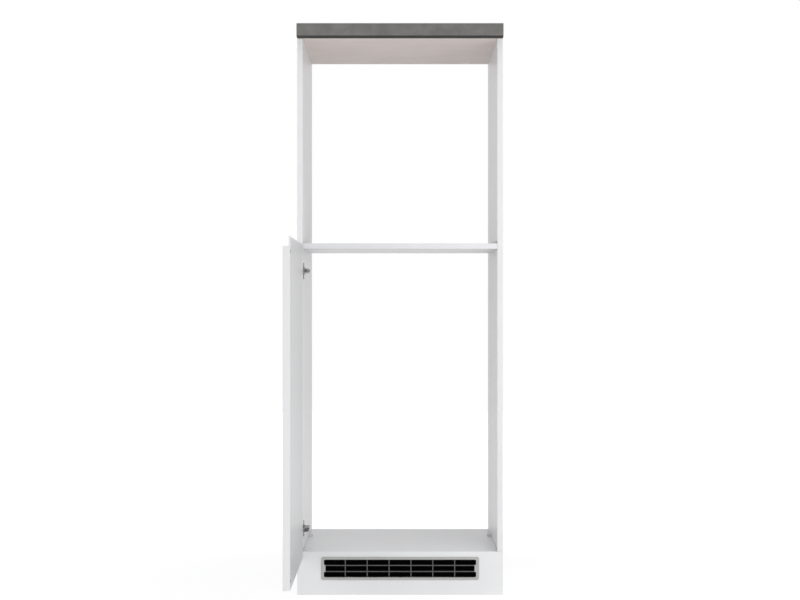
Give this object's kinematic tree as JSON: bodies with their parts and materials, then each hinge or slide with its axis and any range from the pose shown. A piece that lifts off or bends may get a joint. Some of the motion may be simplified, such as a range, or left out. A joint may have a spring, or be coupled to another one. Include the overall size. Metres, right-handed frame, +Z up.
{
  "type": "tall fridge housing cabinet",
  "caption": "Tall open-backed kitchen cabinet for a built-in refrigerator, with worktop, fixed shelf, vented plinth and one door on concealed cup hinges.",
  "frame": {"origin": "middle of the plinth board's underside, on the floor: half-way across the unit and half-way through the plinth's thickness", "axes": "+X to the right as seen from the front, +Y from the front to the back, +Z up; the front faces -Y and the door stands open at a right angle"},
  "size_m": [0.6032, 1.1617, 1.663],
  "materials": {
    "white_melamine": "melamine-faced chipboard, satin white",
    "white_gloss_front": "foil-faced board, semi-gloss white",
    "slate_laminate": "high-pressure laminate on chipboard, slate grey, fine satin",
    "beige_backing": "unglazed laminate backing sheet, matt beige",
    "silver_plastic": "moulded plastic, silver grey lacquer",
    "black_plastic": "moulded plastic, matt black",
    "beech_wood": "turned beech, unfinished",
    "grey_plastic": "moulded nylon, light grey",
    "nickel_plated_steel": "pressed steel, bright nickel plate"
  },
  "bodies": {
    "cabinet": {"side_panel_left": "white_melamine", "side_panel_right": "white_melamine", "bottom_panel": "white_melamine", "fixed_shelf": "white_melamine", "plinth_board": "white_melamine", "worktop": "slate_laminate", "worktop_backing": "beige_backing", "vent_grille": "silver_plastic", "vent_louvre": "black_plastic", "bottom_dowel_left_front": "beech_wood", "bottom_dowel_left_rear": "beech_wood", "bottom_dowel_right_front": "beech_wood", "bottom_dowel_right_rear": "beech_wood", "shelf_dowel_left_front": "beech_wood", "shelf_dowel_left_rear": "beech_wood", "shelf_dowel_right_front": "beech_wood", "shelf_dowel_right_rear": "beech_wood", "worktop_dowel_left_front": "beech_wood", "worktop_dowel_left_rear": "beech_wood", "worktop_dowel_right_front": "beech_wood", "worktop_dowel_right_rear": "beech_wood", "bottom_connector_left_front": "grey_plastic", "bottom_connector_left_rear": "grey_plastic", "bottom_connector_right_front": "grey_plastic", "bottom_connector_right_rear": "grey_plastic", "shelf_connector_left_front": "grey_plastic", "shelf_connector_left_rear": "grey_plastic", "shelf_connector_right_front": "grey_plastic", "shelf_connector_right_rear": "grey_plastic", "plinth_bracket_left": "grey_plastic", "plinth_bracket_right": "grey_plastic", "mounting_plate_lower": "nickel_plated_steel", "mounting_plate_upper": "nickel_plated_steel", "hinge_arm_lower": "nickel_plated_steel", "hinge_arm_upper": "nickel_plated_steel", "outer_arm_pin_lower": "nickel_plated_steel", "outer_arm_pin_upper": "nickel_plated_steel", "inner_arm_pin_lower": "nickel_plated_steel", "inner_arm_pin_upper": "nickel_plated_steel", "arm_clamp_screw_lower": "nickel_plated_steel", "arm_clamp_screw_upper": "nickel_plated_steel", "arm_adjusting_screw_lower": "nickel_plated_steel", "arm_adjusting_screw_upper": "nickel_plated_steel", "plate_screw_lower_bottom": "nickel_plated_steel", "plate_screw_lower_top": "nickel_plated_steel", "plate_screw_upper_bottom": "nickel_plated_steel", "plate_screw_upper_top": "nickel_plated_steel"},
    "door": {"door_panel": "white_gloss_front", "hinge_cup_lower": "nickel_plated_steel", "hinge_cup_upper": "nickel_plated_steel", "cup_pin_lower": "nickel_plated_steel", "cup_pin_upper": "nickel_plated_steel", "cup_screw_lower_bottom": "nickel_plated_steel", "cup_screw_lower_top": "nickel_plated_steel", "cup_screw_upper_bottom": "nickel_plated_steel", "cup_screw_upper_top": "nickel_plated_steel"},
    "outer_link_upper": {"outer_link_upper": "nickel_plated_steel"},
    "outer_link_lower": {"outer_link_lower": "nickel_plated_steel"},
    "inner_link_upper": {"inner_link_upper": "nickel_plated_steel"},
    "inner_link_lower": {"inner_link_lower": "nickel_plated_steel"}
  },
  "joints": [
    {"name": "outer_link_swing_upper", "type": "hinge", "parent": "cabinet", "child": "outer_link_upper", "pos_m": [-0.2726, -0.0033, 0.946], "axis": [0, 0, 1], "range_deg": [-27, 4.5]},
    {"name": "door_swing", "type": "hinge", "parent": "outer_link_upper", "child": "door", "pos_m": [-0.28544, -0.01972, 0.946], "axis": [0, 0, 1], "range_deg": [-19.5, 117]},
    {"name": "outer_link_swing_lower", "type": "hinge", "parent": "cabinet", "child": "outer_link_lower", "pos_m": [-0.2726, -0.0033, 0.19], "axis": [0, 0, 1], "range_deg": [-27, 4.5]},
    {"name": "inner_link_swing_upper", "type": "hinge", "parent": "door", "child": "inner_link_upper", "pos_m": [-0.29014, -0.01982, 0.946], "axis": [0, 0, 1], "range_deg": [-100.8, 16.8]},
    {"name": "inner_link_swing_lower", "type": "hinge", "parent": "door", "child": "inner_link_lower", "pos_m": [-0.29014, -0.01982, 0.19], "axis": [0, 0, 1], "range_deg": [-100.8, 16.8]}
  ],
  "couplings": [
    {"joint": "outer_link_swing_upper", "follows": "door_swing", "ratio": -0.23077},
    {"joint": "outer_link_swing_lower", "follows": "door_swing", "ratio": -0.23077},
    {"joint": "inner_link_swing_upper", "follows": "door_swing", "ratio": -0.86154},
    {"joint": "inner_link_swing_lower", "follows": "door_swing", "ratio": -0.86154}
  ]
}
